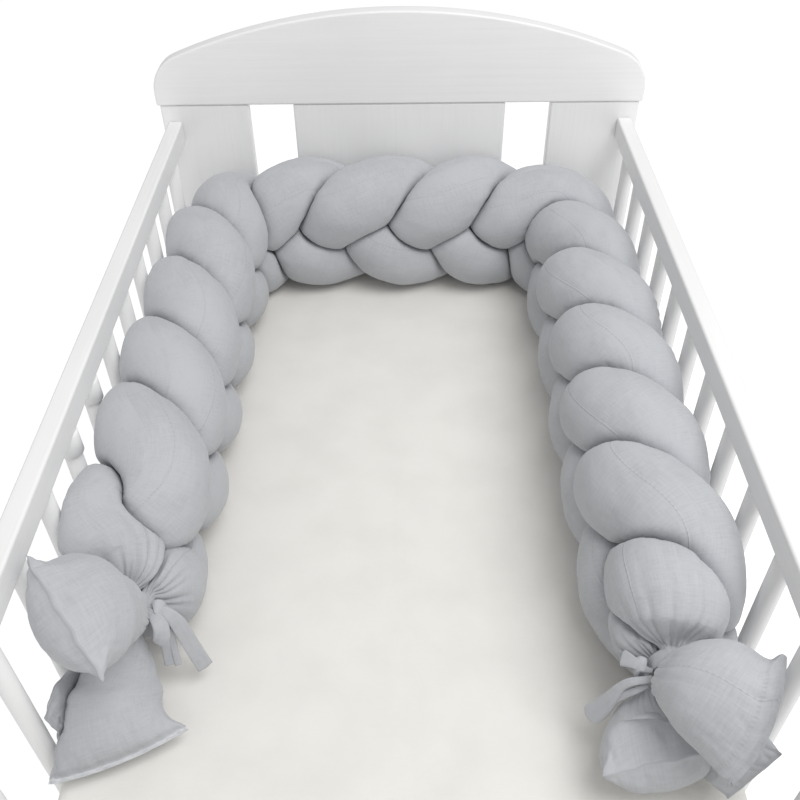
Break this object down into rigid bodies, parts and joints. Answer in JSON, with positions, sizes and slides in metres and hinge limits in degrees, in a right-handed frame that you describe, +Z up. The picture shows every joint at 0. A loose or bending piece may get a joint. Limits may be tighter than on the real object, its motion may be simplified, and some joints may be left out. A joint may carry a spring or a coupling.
{
  "type": "braided crib bumper in a crib",
  "caption": "Thick cotton tubes braided into a soft U-shaped bumper, tied at both ends, standing on the mattress round the head end and along the sides of a slatted wooden crib.",
  "frame": {"origin": "on the floor under the middle of the crib", "axes": "+Z up, +Y towards the headboard, +X to the right as seen from the foot end"},
  "size_m": [0.685, 1.24, 1.02],
  "materials": {
    "grey_muslin": "light grey crinkled cotton muslin",
    "painted_wood": "white satin paint on wood",
    "mattress_cover": "cream cotton mattress cover"
  },
  "bodies": {
    "root": {"foot_corner_board_left": "painted_wood", "foot_corner_board_right": "painted_wood", "foot_cross_board": "painted_wood", "foot_middle_board": "painted_wood", "foot_top_board": "painted_wood", "head_arch": "painted_wood", "head_corner_board_left": "painted_wood", "head_corner_board_right": "painted_wood", "head_cross_board": "painted_wood", "head_middle_board": "painted_wood", "ledge_foot": "painted_wood", "ledge_head": "painted_wood", "mattress": "mattress_cover", "mattress_base": "painted_wood", "rail_low_left": "painted_wood", "rail_low_right": "painted_wood", "rail_top_left": "painted_wood", "rail_top_right": "painted_wood", "slat_left_01": "painted_wood", "slat_left_02": "painted_wood", "slat_left_03": "painted_wood", "slat_left_04": "painted_wood", "slat_left_05": "painted_wood", "slat_left_06": "painted_wood", "slat_left_07": "painted_wood", "slat_left_08": "painted_wood", "slat_left_09": "painted_wood", "slat_left_10": "painted_wood", "slat_left_11": "painted_wood", "slat_left_12": "painted_wood", "slat_left_13": "painted_wood", "slat_left_14": "painted_wood", "slat_left_15": "painted_wood", "slat_right_01": "painted_wood", "slat_right_02": "painted_wood", "slat_right_03": "painted_wood", "slat_right_04": "painted_wood", "slat_right_05": "painted_wood", "slat_right_06": "painted_wood", "slat_right_07": "painted_wood", "slat_right_08": "painted_wood", "slat_right_09": "painted_wood", "slat_right_10": "painted_wood", "slat_right_11": "painted_wood", "slat_right_12": "painted_wood", "slat_right_13": "painted_wood", "slat_right_14": "painted_wood", "slat_right_15": "painted_wood", "slat_sleeve_08": "painted_wood", "slat_sleeve_09": "painted_wood", "tie_left": "grey_muslin", "tie_right": "grey_muslin", "tube_1": "grey_muslin", "tube_2": "grey_muslin", "tube_3": "grey_muslin"}
  },
  "joints": []
}
